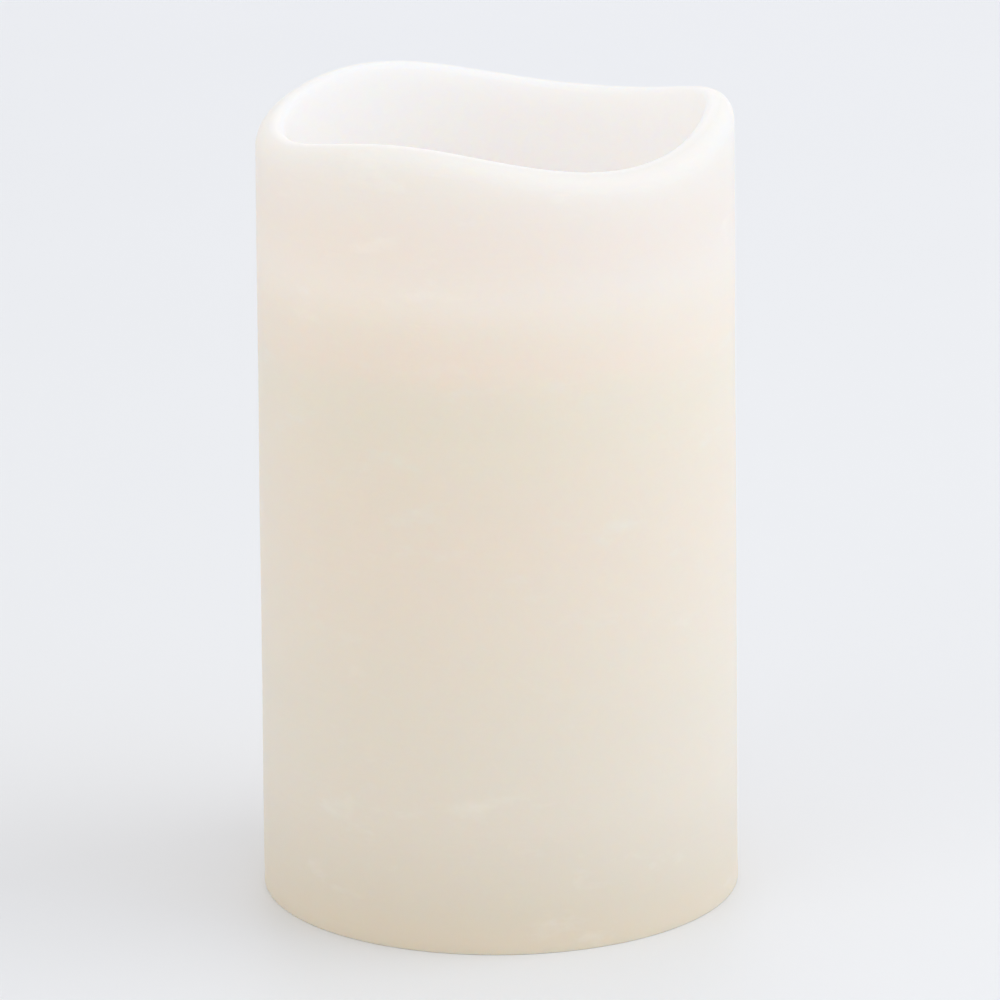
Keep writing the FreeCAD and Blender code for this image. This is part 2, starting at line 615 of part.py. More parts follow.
def battery_wire(side):
    """The wire from one solder tab, over the bay's roof and down to the board."""
    index = 0 if side > 0 else CELL_COUNT - 1
    tab_face = side * (BAY_HALF_X - PLATE_THICKNESS)
    y = cell_y(index)
    inboard = side * (BATTERY_WIRE_X + BATTERY_WIRE_LEAN)
    start = Vector(tab_face, y, BATTERY_WIRE_Z)
    turn = Vector(inboard, y, BATTERY_WIRE_Z)
    above_board = Vector(side * BATTERY_WIRE_X, SOLDER_ROW_Y, BATTERY_WIRE_Z)
    end = Vector(side * BATTERY_WIRE_X, SOLDER_ROW_Y, BOARD_TOP)
    return hook_up_wire([start, turn, above_board, end])


def led_wire(side):
    """The wire from the board, through the cover and up the stem to one of the LED's leads."""
    x = side * LEAD_SPACING / 2
    start = Vector(x, SOLDER_ROW_Y, BOARD_TOP)
    over = Vector(x, SOLDER_ROW_Y, LED_WIRE_Z)
    centre = Vector(x, 0, LED_WIRE_Z)
    return hook_up_wire([start, over, centre, Vector(x, 0, LED_BASE - LEAD_LENGTH)])


def build():
    """Every piece of the candle, by name."""
    pieces = {
        "wax_shell": wax_shell(),
        "base_tray": base_tray(),
        "battery_door": battery_door(),
        "switch_knob": switch_knob(),
        "switch_actuator": switch_actuator(),
        "switch_body": switch_body(),
        "circuit_board": circuit_board(),
        "timer_chip": timer_chip(),
        "capacitor": capacitor(),
        "resistor": resistor(),
        "board_screws": board_screws(),
        "module_cover": module_cover(),
        "cover_screws": cover_screws(),
        "glue_bead": glue_bead(),
        "led_stem": led_stem(),
        "led_bulb": led_bulb(),
        "led_leads": led_leads(),
        "contact_positive": end_contact(1, 0, False),
        "contact_negative": end_contact(-1, CELL_COUNT - 1, True),
        "contact_bridge_1": bridge_contact(-1, 0, 1),
        "contact_bridge_2": bridge_contact(1, 1, 2),
        "battery_wire_red": battery_wire(1),
        "battery_wire_black": battery_wire(-1),
        "led_wire_red": led_wire(1),
        "led_wire_black": led_wire(-1),
    }
    for index in range(CELL_COUNT):
        pieces["battery_%d" % (index + 1)] = battery_cell(index)
    return pieces


os.makedirs("parts", exist_ok=True)
for name, shape in build().items():
    print("%-20s valid %s  solids %d  volume %.1f" % (name, shape.isValid(), len(shape.Solids), shape.Volume))
    shape.exportStep("parts/%s.step" % name)
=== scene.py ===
import json
import math

import bmesh
import bpy
from mathutils import Matrix, Vector, noise


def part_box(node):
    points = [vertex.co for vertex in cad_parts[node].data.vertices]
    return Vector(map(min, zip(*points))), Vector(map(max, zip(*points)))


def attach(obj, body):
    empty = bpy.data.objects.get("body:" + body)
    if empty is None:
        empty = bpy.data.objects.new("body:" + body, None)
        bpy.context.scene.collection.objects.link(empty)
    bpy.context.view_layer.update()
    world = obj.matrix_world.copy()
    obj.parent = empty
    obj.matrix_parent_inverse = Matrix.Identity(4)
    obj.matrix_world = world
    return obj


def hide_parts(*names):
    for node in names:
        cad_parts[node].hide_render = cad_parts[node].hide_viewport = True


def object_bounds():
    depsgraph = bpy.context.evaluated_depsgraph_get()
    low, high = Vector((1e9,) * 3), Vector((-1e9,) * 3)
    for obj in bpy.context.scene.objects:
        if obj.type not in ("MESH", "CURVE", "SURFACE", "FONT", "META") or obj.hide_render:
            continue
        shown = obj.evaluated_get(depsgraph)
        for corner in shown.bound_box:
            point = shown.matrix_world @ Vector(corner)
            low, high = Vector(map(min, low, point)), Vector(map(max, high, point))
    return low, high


# Looks for the flameless LED pillar candle. Metres, +Z up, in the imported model's frame.
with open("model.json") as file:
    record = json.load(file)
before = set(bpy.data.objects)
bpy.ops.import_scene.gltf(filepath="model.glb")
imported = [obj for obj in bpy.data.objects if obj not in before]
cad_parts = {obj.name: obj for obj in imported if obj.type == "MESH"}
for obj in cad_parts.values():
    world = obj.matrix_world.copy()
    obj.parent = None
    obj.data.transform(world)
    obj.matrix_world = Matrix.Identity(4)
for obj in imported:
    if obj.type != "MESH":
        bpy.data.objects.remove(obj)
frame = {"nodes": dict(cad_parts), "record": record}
cad_low, cad_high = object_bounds()
MM = 0.001

# Camera: in front of the candle and a little above it, with a long lens.
CAMERA_ELEVATION = math.radians(16.0)
CAMERA_DISTANCE = 1.0
CAMERA_AIM = Vector((0.00033, 0.0, 0.06268))
CAMERA_ROLL = math.radians(-0.53)
CAMERA_LENS = 227.2
CAMERA_NEAR = 0.05
CAMERA_FAR = 20.0

# Soft boxes: azimuth (0 is the camera's side, 90 is +X) and elevation in degrees, distance and width in
# metres, power in watts, colour.
LIGHTS = [
    ("right_high", 90.0, 50.0, 1.4, 1.0, 3.50, (0.985, 1.0, 1.0)),
    ("left_front", 315.0, 20.0, 1.4, 1.0, 1.66, (0.99, 1.0, 0.965)),
    ("behind", 180.0, 20.0, 1.4, 1.0, 1.11, (0.77, 0.78, 1.0)),
    ("low_front", 55.0, 9.0, 0.6, 0.3, 0.50, (0.60, 0.76, 1.0)),
]
WORLD_COLOUR = (0.995, 1.0, 1.0, 1.0)
WORLD_STRENGTH = 0.82
FLOOR_RADIUS = 4.0
FLOOR_SIDES = 96
FLOOR_TONES = ((0.835, 0.845, 0.865), (0.85, 0.86, 0.88))

# Wax shell, as the CAD has it but for its foot, which is rounded less.
BASE_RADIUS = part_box("wax_shell")[1].x
TOP_RADIUS = BASE_RADIUS - 0.8 * MM
DRAFT_HEIGHT = 130.0 * MM
FOOT_ROUND = 0.2 * MM
CHAMBER_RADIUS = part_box("base_tray")[1].x + 0.1 * MM
CHAMBER_CORNER = 3.0 * MM
CUP_RADIUS = CHAMBER_RADIUS - 0.7 * MM
CUP_FLOOR = 100.0 * MM
CUP_CORNER = 3.0 * MM
WEB_THICKNESS = 8.0 * MM
STEM_HOLE_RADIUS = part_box("led_stem")[1].x + 0.4 * MM
STEM_HOLE_ROUND = 0.8 * MM
RIM_HEIGHT = 125.3 * MM
# Each wave round the rim: its number of crests, its height in mm and the direction of a crest in degrees.
RIM_WAVES = [(1, 0.40, 140.0), (2, 0.40, -5.0), (3, 2.15, 6.0), (4, 0.20, -9.0), (6, 0.10, 0.0)]
RIM_OUTER_ROUND = 3.3 * MM
RIM_INNER_ROUND = 1.2 * MM
WAX_STEPS_AROUND = 360

# The casting's unevenness: depth of its soft and fine waves, and how many of them go in a metre. Its foot
# stands true.
SOFT_WAVE = 0.10 * MM
SOFT_WAVE_COUNT = 38.0
FINE_WAVE = 0.03 * MM
FINE_WAVE_COUNT = 150.0
FINE_WAVE_PLACE = Vector((3.0, 1.0, 7.0))
TRUE_FOOT = 2.0 * MM

# The wax's tone at each height in mm, partly its own and partly painted light and shade: painted shade
# darkens it towards the foot, and painted light whitens it by the thin-walled cup. Then its tones in the
# cup, which carry painted light, and under bloom.
WAX_TONES_WITH_PAINTED_LIGHT = [
    (0.0, (0.79, 0.69, 0.555)),
    (8.0, (0.785, 0.70, 0.585)),
    (20.0, (0.83, 0.74, 0.635)),
    (42.0, (0.865, 0.76, 0.65)),
    (72.0, (0.935, 0.77, 0.655)),
    (87.0, (0.965, 0.785, 0.665)),
    (96.0, (0.89, 0.787, 0.69)),
    (104.0, (0.835, 0.763, 0.708)),
    (113.0, (0.815, 0.743, 0.70)),
    (124.0, (0.82, 0.777, 0.745)),
]
# Whiter wax as painted light in the cup and a painted highlight over the rim's crest.
CUP_PAINTED_LIGHT = (0.99, 0.924, 0.902)
BLOOM_TONE = (0.920, 0.880, 0.810)
# The painted light in the cup and the painted highlight over the rim's crest are full inside the first
# radius and above the second height, and gone outside the second radius and below the first height.
CUP_PAINTED_LIGHT_RADII = (33.1 * MM, 35.2 * MM)
CUP_PAINTED_LIGHT_HEIGHTS = (85.0 * MM, 98.0 * MM)
# How deep light goes into the wax: at the foot, above it, and how much deeper beside the thin-walled cup.
# Each change is made between two heights.
FOOT_DEPTH = 0.5 * MM
WALL_DEPTH = 6.0 * MM
CUP_EXTRA_DEPTH = 8.0 * MM
FOOT_DEPTH_HEIGHTS = (0.0, 6.0 * MM)
CUP_DEPTH_HEIGHTS = (93.0 * MM, 104.0 * MM)

# Tones of the board's solder mask, bare and over copper, of the LED's epoxy and of the glue.
MASK_TONES = ((0.012, 0.115, 0.045), (0.018, 0.150, 0.060))
TRACK_TONE = (0.045, 0.245, 0.095)
EPOXY_TONES = ((0.98, 0.80, 0.50), (1.0, 0.86, 0.60))
GLUE_TONES = ((0.78, 0.74, 0.60), (0.90, 0.88, 0.78))
# How many waves of the board's tracks go in a metre, as the wave texture counts them.
TRACK_COUNT = 420.0
# Where most of a noise texture's values lie.
NOISE_SPAN = (0.3, 0.7)

# Plain finishes: name, colour, roughness and, for plastics, the depth of the moulded grain.
PLASTICS = [
    ("ivory_plastic", (0.83, 0.78, 0.66), 0.42, 0.03 * MM),
    ("white_plastic", (0.86, 0.86, 0.83), 0.32, 0.03 * MM),
    ("knob_plastic", (0.022, 0.022, 0.025), 0.40, 0.03 * MM),
    ("chip_plastic", (0.030, 0.030, 0.033), 0.55, 0.01 * MM),
    ("red_insulation", (0.55, 0.025, 0.02), 0.30, 0.01 * MM),
    ("black_insulation", (0.02, 0.02, 0.02), 0.30, 0.01 * MM),
    ("cell_washer", (0.75, 0.75, 0.72), 0.5, 0.01 * MM),
    ("phosphor", (0.85, 0.70, 0.15), 0.6, 0.01 * MM),
]
METALS = [
    ("contact_steel", (0.76, 0.74, 0.69), 0.24),
    ("screw_steel", (0.64, 0.65, 0.66), 0.32),
    ("switch_metal", (0.72, 0.72, 0.71), 0.30),
    ("lead_steel", (0.82, 0.82, 0.81), 0.22),
]
FOILS = [
    ("cell_jacket", (0.045, 0.055, 0.075), 0.28),
    ("cell_band", (0.62, 0.46, 0.22), 0.28),
]
# Bands of lacquer: the share of the piece's length where each starts, and its colour.
SLEEVE, ALUMINIUM = (0.03, 0.04, 0.07), (0.78, 0.79, 0.80)
LEAD, TAN, BROWN = (0.80, 0.80, 0.79), (0.62, 0.46, 0.27), (0.16, 0.05, 0.02)
BLACK, GOLD = (0.02, 0.02, 0.02), (0.60, 0.40, 0.10)
CAPACITOR_BANDS = [(0.0, SLEEVE), (0.93, ALUMINIUM)]
RESISTOR_BANDS = [
    (0.0, LEAD), (0.20, TAN), (0.27, BROWN), (0.34, TAN), (0.42, BLACK), (0.49, TAN), (0.57, BROWN),
    (0.64, TAN), (0.71, GOLD), (0.77, TAN), (0.80, LEAD),
]
# Banded finishes: name, CAD node and the axis along which its bands follow each other, bands, roughness.
LACQUERS = [
    ("can_aluminium", "capacitor", "Z", CAPACITOR_BANDS, 0.30),
    ("resistor_body", "resistor", "X", RESISTOR_BANDS, 0.25),
]

# Tolerances for meshes taken over from the CAD.
WELD = 0.002 * MM
FLAT = math.radians(0.5)
CORNER = math.radians(30.0)

# CAD node, name of the detailed piece, corner round, finish, body.
MOULDINGS = [
    ("base_tray", "tray_moulding", 0.20 * MM, "ivory_plastic", "candle"),
    ("battery_door", "door_moulding", 0.20 * MM, "ivory_plastic", "door"),
    ("switch_knob", "knob_moulding", 0.12 * MM, "knob_plastic", "slider"),
    ("switch_actuator", "switch_lever", 0.10 * MM, "knob_plastic", "slider"),
    ("switch_body", "switch_can", 0.20 * MM, "switch_metal", "candle"),
    ("module_cover", "cover_moulding", 0.30 * MM, "white_plastic", "candle"),
    ("led_stem", "stem_moulding", 0.30 * MM, "white_plastic", "candle"),
    ("circuit_board", "board_panel", 0.10 * MM, "board_laminate", "candle"),
    ("timer_chip", "chip_package", 0.05 * MM, "chip_plastic", "candle"),
    ("cover_screws", "cover_pan_screws", 0.15 * MM, "screw_steel", "candle"),
    ("board_screws", "board_pan_screws", 0.12 * MM, "screw_steel", "candle"),
]

# A dry cell's outline from its flat end to its nub: radius and height in mm, and the finish of the stretch
# that starts there.
STEEL, JACKET, BAND, WASHER = range(4)
CELL_FINISHES = ("contact_steel", "cell_jacket", "cell_band", "cell_washer")
CELL_RADIUS = 5.25
CELL_LENGTH = 44.5
CELL_OUTLINE = [
    (0.0, 0.15, STEEL), (3.0, 0.15, STEEL), (3.4, 0.0, STEEL), (4.2, 0.0, STEEL), (4.6, 0.2, STEEL),
    (4.75, 0.3, JACKET), (5.0, 0.2, JACKET), (5.2, 0.4, JACKET), (CELL_RADIUS, 0.9, JACKET),
    (CELL_RADIUS, 31.0, BAND), (CELL_RADIUS, 42.6, JACKET), (5.2, 43.2, JACKET), (5.0, 43.5, JACKET),
    (4.6, 43.55, WASHER), (4.4, 43.3, WASHER), (2.4, 43.3, STEEL), (2.1, 43.5, STEEL), (1.9, 43.7, STEEL),
    (1.9, 44.2, STEEL), (1.7, 44.45, STEEL), (1.4, CELL_LENGTH, STEEL), (0.0, CELL_LENGTH, STEEL),
]

# The LED's lens, and what shows inside it in mm above its underside: the cup's outline, and the anvil
# under the cup, the post beside it and the die in it as low corner, high corner, corner round and finish.
LED_RADIUS = 2.5 * MM
LED_FLANGE = 1.0 * MM
LED_EDGE = 0.15 * MM
LED_FRAME, LED_DIE = range(2)
LED_CUP_OFFSET = -0.35
LED_CUP_OUTLINE = [(0.0, 4.5), (0.3, 4.5), (0.75, 5.1), (0.85, 5.1), (0.85, 4.0), (0.0, 4.0)]
LED_BLOCKS = [
    ((-1.5, -0.25, 0.3), (0.3, 0.25, 4.1), 0.08, LED_FRAME),
    ((0.75, -0.25, 0.3), (1.5, 0.25, 4.8), 0.08, LED_FRAME),
    ((-0.55, -0.2, 4.5), (-0.15, 0.2, 4.75), 0.04, LED_DIE),
]

# Glue bead: the share of its CAD height that it has on average, the share that it gains or loses, and how
# close together its lumps are.
GLUE_STEPS_AROUND = 240
GLUE_STEPS_ACROSS = 6
GLUE_MEAN = 0.86
GLUE_SWING = 0.14
GLUE_LUMPS = 7.0

# A solder fillet's outline in mm, and what is soldered.
SOLDER_OUTLINE = [
    (0.0, 0.0), (1.0, 0.0), (0.98, 0.08), (0.8, 0.2), (0.68, 0.45), (0.6, 0.8), (0.45, 0.95), (0.0, 1.0),
]
WIRES = ("battery_wire_red", "battery_wire_black", "led_wire_red", "led_wire_black")
LEAD_RADIUS = 0.25 * MM

# Marks moulded proud of the door and the tub.
MARK_RISE = 0.2 * MM
MARK_SINK = 0.1 * MM
MARK_ROUND = 0.06 * MM
ARROW_PLACE = 13.0 * MM
ARROW_LENGTH = 9.0 * MM
ARROW_HALF_WIDTH = 3.2 * MM
ARROW_HEAD_SHARE = 0.45
ARROW_SHAFT_SHARE = 0.4
SIGN_PITCH = 4.2 * MM
SIGN_GAP = 3.2 * MM
BAR_HALF_WIDTH = 0.3 * MM
BAR_HALF_LENGTH = 1.2 * MM
RING_INNER = 0.9 * MM
RING_OUTER = 1.4 * MM
RING_EDGE = 0.05 * MM
DOT_RADIUS = 0.7 * MM
DOT_EDGE = 0.1 * MM


def rim_height(angle):
    """Height of the rim's crest in one direction."""
    waves = [high * math.cos(crests * (angle - math.radians(peak))) for crests, high, peak in RIM_WAVES]
    return RIM_HEIGHT + MM * sum(waves)


# ---------------------------------------------------------------- node materials

class Surface:
    """A node material in the making. Its methods add nodes, and give the output that the next one uses."""

    def __init__(self, name):
        self.material = bpy.data.materials.new(name)
        self.material.use_nodes = True
        self.tree = self.material.node_tree

    def feed(self, socket, value):
        """Gives a socket a link, a colour or a plain value."""
        if isinstance(value, bpy.types.NodeSocket):
            self.tree.links.new(value, socket)
        elif socket.type == "RGBA":
            socket.default_value = (*value, 1.0)
        else:
            socket.default_value = value

    def node(self, kind, output, inputs, **settings):
        """A new node's output, with its settings made and its inputs fed."""
        node = self.tree.nodes.new(kind)
        for setting, value in settings.items():
            setattr(node, setting, value)
        for key, value in inputs.items():
            self.feed(node.inputs[key], value)
        return node.outputs[output]

    def place(self, stretch):
        """Object coordinates, stretched by a scale along each axis."""
        place = self.node("ShaderNodeTexCoord", "Object", {})
        return self.node("ShaderNodeMapping", "Vector", {"Vector": place, "Scale": stretch})

    def coordinate(self, axis):
        """One of a point's object coordinates."""
        place = self.node("ShaderNodeTexCoord", "Object", {})
        return self.node("ShaderNodeSeparateXYZ", axis, {"Vector": place})

    def axis_distance(self):
        """How far a point is from the candle's axis."""
        level = self.place((1.0, 1.0, 0.0))
        return self.node("ShaderNodeVectorMath", "Value", {"Vector": level}, operation="LENGTH")

    def calculated(self, operation, first, second):
        """Two values added or multiplied."""
        return self.node("ShaderNodeMath", "Value", {0: first, 1: second}, operation=operation)

    def noise(self, scale, detail, roughness=0.5, stretch=(1.0, 1.0, 1.0)):
        """Fractal noise in object space; scale is in features per metre."""
        inputs = {"Vector": self.place(stretch), "Scale": scale, "Detail": detail, "Roughness": roughness}
        return self.node("ShaderNodeTexNoise", "Fac", inputs)

    def remapped(self, value, between, to):
        """A value moved from one range to another, held at its ends."""
        inputs = {"Value": value, "From Min": between[0], "From Max": between[1], "To Min": to[0],
                  "To Max": to[1]}
        return self.node("ShaderNodeMapRange", "Result", inputs)

    def blended(self, factor, first, second):
        """A blend of two colours, or of colours and other blends."""
        node = self.tree.nodes.new("ShaderNodeMix")
        node.data_type = "RGBA"
        self.feed(node.inputs["Factor"], factor)
        sockets = [socket for socket in node.inputs if socket.type == "RGBA"]
        self.feed(sockets[0], first)
        self.feed(sockets[1], second)
        return [socket for socket in node.outputs if socket.type == "RGBA"][0]

    def banded(self, value, stops, interpolation):
        """A colour that changes as a value goes from 0 to 1; each stop is (place, colour)."""
        node = self.tree.nodes.new("ShaderNodeValToRGB")
        self.feed(node.inputs["Fac"], value)
        ramp = node.color_ramp
        ramp.interpolation = interpolation
        while len(ramp.elements) < len(stops):
            ramp.elements.new(1.0)
        for element, (place, colour) in zip(ramp.elements, stops):
            element.position = place
            element.color = (*colour, 1.0)
        return node.outputs["Color"]

    def bump(self, height, distance, strength, under=None):
        """A bump of a height texture, over another bump if one is given."""
        inputs = {"Height": height, "Distance": distance, "Strength": strength}
        if under is not None:
            inputs["Normal"] = under
        return self.node("ShaderNodeBump", "Normal", inputs)

    def finished(self, inputs):
        """The material, once its principled shader has been fed."""
        shader = self.tree.nodes["Principled BSDF"]
        for key, value in inputs.items():
            self.feed(shader.inputs[key], value)
        return self.material


def wax():
    """Ivory paraffin: light goes deep into it, and its skin has faint rings, bloom and pores. Its colour
    carries painted shade towards the foot, painted light by and in the cup, and a painted highlight over
    the rim's crest.
    """
    surface = Surface("ivory_wax")
    clouds = surface.noise(scale=28.0, detail=3.0)
    bloom = surface.noise(scale=70.0, detail=4.0, roughness=0.6, stretch=(1.0, 1.0, 2.4))
    rings = surface.noise(scale=60.0, detail=3.0, roughness=0.6, stretch=(0.12, 0.12, 16.0))
    pores = surface.noise(scale=1500.0, detail=2.0)
    height = surface.coordinate("Z")
    share = surface.remapped(height, between=(0.0, cad_high.z), to=(0.0, 1.0))
    stops = [(level * MM / cad_high.z, colour) for level, colour in WAX_TONES_WITH_PAINTED_LIGHT]
    # The ramp by height: the wax's own tone with painted shade towards the foot and painted light higher
    # up.
    tone = surface.banded(share, stops, "CARDINAL")
    # Painted light in the cup and a painted highlight over the rim's crest, lighter than the wax outside.
    inside = surface.remapped(surface.axis_distance(), between=CUP_PAINTED_LIGHT_RADII, to=(1.0, 0.0))
    above_web = surface.remapped(height, between=CUP_PAINTED_LIGHT_HEIGHTS, to=(0.0, 1.0))
    painted_cup_light = surface.calculated("MULTIPLY", inside, above_web)
    tone = surface.blended(painted_cup_light, tone, CUP_PAINTED_LIGHT)
    veil = surface.remapped(bloom, between=(0.60, 0.78), to=(0.0, 0.30))
    over_foot = surface.remapped(height, between=FOOT_DEPTH_HEIGHTS, to=(FOOT_DEPTH, WALL_DEPTH))
    beside_cup = surface.remapped(height, between=CUP_DEPTH_HEIGHTS, to=(0.0, CUP_EXTRA_DEPTH))
    skin = surface.bump(rings, distance=0.12 * MM, strength=0.35)
    skin = surface.bump(pores, distance=0.06 * MM, strength=0.4, under=skin)
    return surface.finished({
        "Base Color": surface.blended(veil, tone, BLOOM_TONE),
        "Roughness": surface.remapped(bloom, between=NOISE_SPAN, to=(0.50, 0.60)),
        "Specular IOR Level": 0.2,
        "IOR": 1.44,
        "Subsurface Weight": 1.0,
        "Subsurface Radius": (1.0, 0.75, 0.55),
        "Subsurface Scale": surface.calculated("ADD", over_foot, beside_cup),
        "Normal": surface.bump(clouds, distance=1.2 * MM, strength=0.25, under=skin),
    })


def moulded_plastic(name, colour, roughness, grain):
    """Injection-moulded plastic with a fine spark-eroded texture and slight flow marks."""
    surface = Surface(name)
    flow = surface.noise(scale=45.0, detail=3.0, stretch=(1.0, 0.35, 1.0))
    fine = surface.noise(scale=2600.0, detail=2.0)
    darker = tuple(0.93 * channel for channel in colour)
    return surface.finished({
        "Base Color": surface.blended(flow, darker, colour),
        "Roughness": surface.remapped(flow, between=NOISE_SPAN, to=(roughness - 0.05, roughness + 0.05)),
        "Normal": surface.bump(fine, distance=grain, strength=0.6),
    })


def plated_metal(name, colour, roughness):
    """Bright plated steel with fine drawing marks."""
    surface = Surface(name)
    marks = surface.noise(scale=300.0, detail=4.0, roughness=0.6, stretch=(1.0, 12.0, 1.0))
    dull = tuple(0.8 * channel for channel in colour)
    return surface.finished({
        "Base Color": surface.blended(marks, dull, colour),
        "Metallic": 1.0,
        "Roughness": surface.remapped(marks, between=NOISE_SPAN, to=(roughness - 0.06, roughness + 0.08)),
        "Normal": surface.bump(marks, distance=0.02 * MM, strength=0.4),
    })


def printed_foil(name, colour, roughness):
    """A cell's printed foil sleeve: lacquered metal with a faint wrap grain and handling scuffs."""
    surface = Surface(name)
    grain = surface.noise(scale=900.0, detail=3.0, roughness=0.6, stretch=(0.15, 1.0, 1.0))
    scuffs = surface.noise(scale=260.0, detail=5.0, roughness=0.7)
    worn = tuple(min(1.0, channel * 1.25 + 0.03) for channel in colour)
    wear = surface.remapped(scuffs, between=(0.58, 0.72), to=(0.0, 0.5))
    return surface.finished({
        "Base Color": surface.blended(wear, colour, worn),
        "Metallic": 0.55,
        "Coat Weight": 0.4,
        "Roughness": surface.remapped(scuffs, between=NOISE_SPAN, to=(roughness - 0.06, roughness + 0.12)),
        "Normal": surface.bump(grain, distance=0.01 * MM, strength=0.5),
    })


def striped_lacquer(name, node, axis, stops, roughness):
    """Glossy lacquer in bands along a CAD piece, a little uneven in tone."""
    surface = Surface(name)
    ends = [getattr(corner, axis.lower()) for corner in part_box(node)]
    share = surface.remapped(surface.coordinate(axis), between=ends, to=(0.0, 1.0))
    stripes = surface.banded(share, stops, "CONSTANT")
    mottle = surface.noise(scale=1800.0, detail=3.0)
    shade = surface.remapped(mottle, between=(0.35, 0.7), to=(0.0, 0.12))
    return surface.finished({
        "Base Color": surface.blended(shade, stripes, BLACK),
        "Roughness": surface.remapped(mottle, between=NOISE_SPAN, to=(roughness - 0.05, roughness + 0.08)),
        "Normal": surface.bump(mottle, distance=0.02 * MM, strength=0.4),
    })


def laminate():
    """Green solder mask over copper tracks that stand a little proud."""
    surface = Surface("board_laminate")
    tracks = []
    for stretch in ((TRACK_COUNT, 0.0, 0.0), (0.0, TRACK_COUNT, 0.0)):
        inputs = {"Vector": surface.place(stretch), "Scale": 1.0, "Distortion": 0.0}
        wave = surface.node("ShaderNodeTexWave", "Fac", inputs, bands_direction="DIAGONAL")
        tracks.append(surface.remapped(wave, between=(0.72, 0.78), to=(0.0, 1.0)))
    regions = surface.remapped(surface.noise(scale=210.0, detail=0.0), between=(0.49, 0.51), to=(0.0, 1.0))
    copper = surface.node("ShaderNodeMix", "Result", {"Factor": regions, "A": tracks[0], "B": tracks[1]})
    weave = surface.noise(scale=3000.0, detail=2.0)
    mask = surface.blended(weave, *MASK_TONES)
    return surface.finished({
        "Base Color": surface.blended(copper, mask, TRACK_TONE),
        "Coat Weight": 0.5,
        "Roughness": surface.remapped(weave, between=NOISE_SPAN, to=(0.26, 0.36)),
        "Normal": surface.bump(copper, distance=0.03 * MM, strength=0.8),
    })


def epoxy():
    """The LED's tinted clear epoxy, with the faint swirl of a cast lens."""
    surface = Surface("lens_epoxy")
    swirl = surface.noise(scale=500.0, detail=2.0)
    return surface.finished({
        "Base Color": surface.blended(swirl, *EPOXY_TONES),
        "Roughness": surface.remapped(swirl, between=NOISE_SPAN, to=(0.05, 0.12)),
        "Transmission Weight": 0.9,
        "IOR": 1.52,
    })


def glue():
    """Cloudy hot-melt glue."""
    surface = Surface("hot_glue")
    cloud = surface.noise(scale=160.0, detail=4.0, roughness=0.6)
    return surface.finished({
        "Base Color": surface.blended(cloud, *GLUE_TONES),
        "Roughness": surface.remapped(cloud, between=NOISE_SPAN, to=(0.18, 0.34)),
        "Subsurface Weight": 0.8,
        "Subsurface Radius": (1.0, 0.9, 0.7),
        "Subsurface Scale": 2.0 * MM,
        "Normal": surface.bump(cloud, distance=0.3 * MM, strength=0.4),
    })


def white_board():
    """Matt white board, a touch cool."""
    surface = Surface("studio_floor")
    mottle = surface.noise(scale=9.0, detail=3.0)
    return surface.finished({
        "Base Color": surface.blended(mottle, *FLOOR_TONES),
        "Roughness": 0.5,
        "Specular IOR Level": 0.3,
    })


def all_materials():
    """One material for each of the record's slots, and the few that only a detailed piece has."""
    finishes = {"ivory_wax": wax(), "lens_epoxy": epoxy(), "board_laminate": laminate(), "hot_glue": glue()}
    families = [(moulded_plastic, PLASTICS), (plated_metal, METALS), (printed_foil, FOILS),
                (striped_lacquer, LACQUERS)]
    for make, rows in families:
        for row in rows:
            finishes[row[0]] = make(*row)
    return finishes


# ---------------------------------------------------------------- shapes

def placed(name, mesh, materials, body, slot, *nodes):
    """Finished mesh data as a piece that rides on a body and stands for some CAD nodes."""
    piece = bpy.data.objects.new(name, mesh)
    bpy.context.scene.collection.objects.link(piece)
    for material in materials:
        mesh.materials.append(material)
    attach(piece, body)
    if nodes:
        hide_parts(*nodes)
    return piece


def as_mesh(shape, name):
    """Mesh data from a bmesh, smooth and with its faces turned outwards."""
    bmesh.ops.remove_doubles(shape, verts=shape.verts, dist=WELD)
    bmesh.ops.recalc_face_normals(shape, faces=shape.faces)
    for face in shape.faces:
        face.smooth = True
    mesh = bpy.data.meshes.new(name)
    shape.to_mesh(mesh)
    shape.free()
    return mesh


def keep_flats(piece):
    """Keeps flat faces flat under smooth shading, so that only the rounded corners shade round."""
    modifier = piece.modifiers.new("weighted_normals", "WEIGHTED_NORMAL")
    modifier.weight = 100


def bevelled(shape, edges, width, clamp):
    """Rounds edges of a bmesh over. Where the width is clamped to fit, the corners don't slide."""
    bmesh.ops.bevel(shape, geom=edges, offset=width, offset_type="OFFSET", segments=2, profile=0.5,
                    affect="EDGES", clamp_overlap=clamp, loop_slide=not clamp)


def rounded_copy(node, name, width, finish, body):
    """A CAD piece's shape with its moulded corners rounded over."""
    shape = bmesh.new()
    shape.from_mesh(frame["nodes"][node].data)
    bmesh.ops.remove_doubles(shape, verts=shape.verts, dist=WELD)
    bmesh.ops.dissolve_degenerate(shape, edges=shape.edges, dist=width / 2)
    bmesh.ops.dissolve_limit(shape, angle_limit=FLAT, verts=shape.verts, edges=shape.edges)
    corners = [edge for edge in shape.edges
               if len(edge.link_faces) == 2 and edge.calc_face_angle() > CORNER]
    bevelled(shape, corners, width, clamp=False)
    keep_flats(placed(name, as_mesh(shape, name), [finishes[finish]], body, finish, node))


